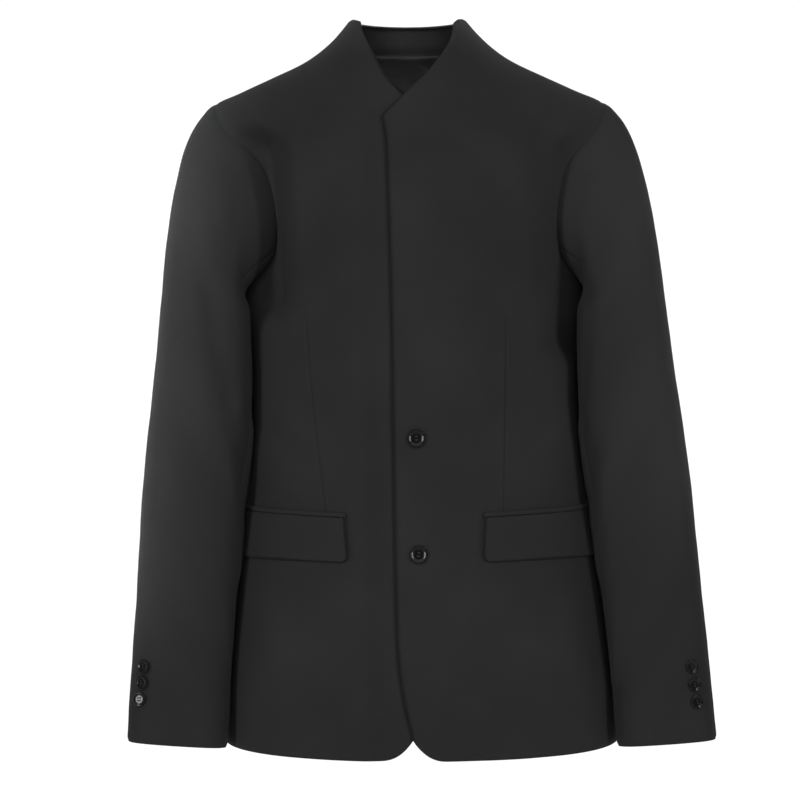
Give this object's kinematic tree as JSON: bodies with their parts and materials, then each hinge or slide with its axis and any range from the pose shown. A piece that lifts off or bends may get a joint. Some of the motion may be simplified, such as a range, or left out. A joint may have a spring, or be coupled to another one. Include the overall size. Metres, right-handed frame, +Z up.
{
  "type": "stand collar blazer",
  "caption": "Plain black single-breasted blazer with a stand collar grown from the fronts, a V opening, flapped pockets and buttoned cuffs, hollow as worn.",
  "frame": {"origin": "middle of the neck at the height where the shoulders carry the jacket", "axes": "+Z up towards the collar, -Y out of the front, +X towards the wearer's left"},
  "size_m": [0.5949, 0.26, 0.7528],
  "materials": {
    "black_wool": "matte plain-weave wool suiting",
    "black_button": "polished, with a raised rim"
  },
  "bodies": {
    "root": {"collar_back": "black_wool", "back_neck_facing": "black_wool", "front_left": "black_wool", "back_left": "black_wool", "sleeve_left_top": "black_wool", "sleeve_left_under": "black_wool", "pocket_flap_left": "black_wool", "pocket_jet_left": "black_wool", "front_right": "black_wool", "back_right": "black_wool", "sleeve_right_top": "black_wool", "sleeve_right_under": "black_wool", "pocket_flap_right": "black_wool", "pocket_jet_right": "black_wool", "front_button_1": "black_button", "front_button_2": "black_button", "cuff_button_left_1": "black_button", "cuff_button_left_2": "black_button", "cuff_button_left_3": "black_button", "cuff_button_right_1": "black_button", "cuff_button_right_2": "black_button", "cuff_button_right_3": "black_button"}
  },
  "joints": []
}
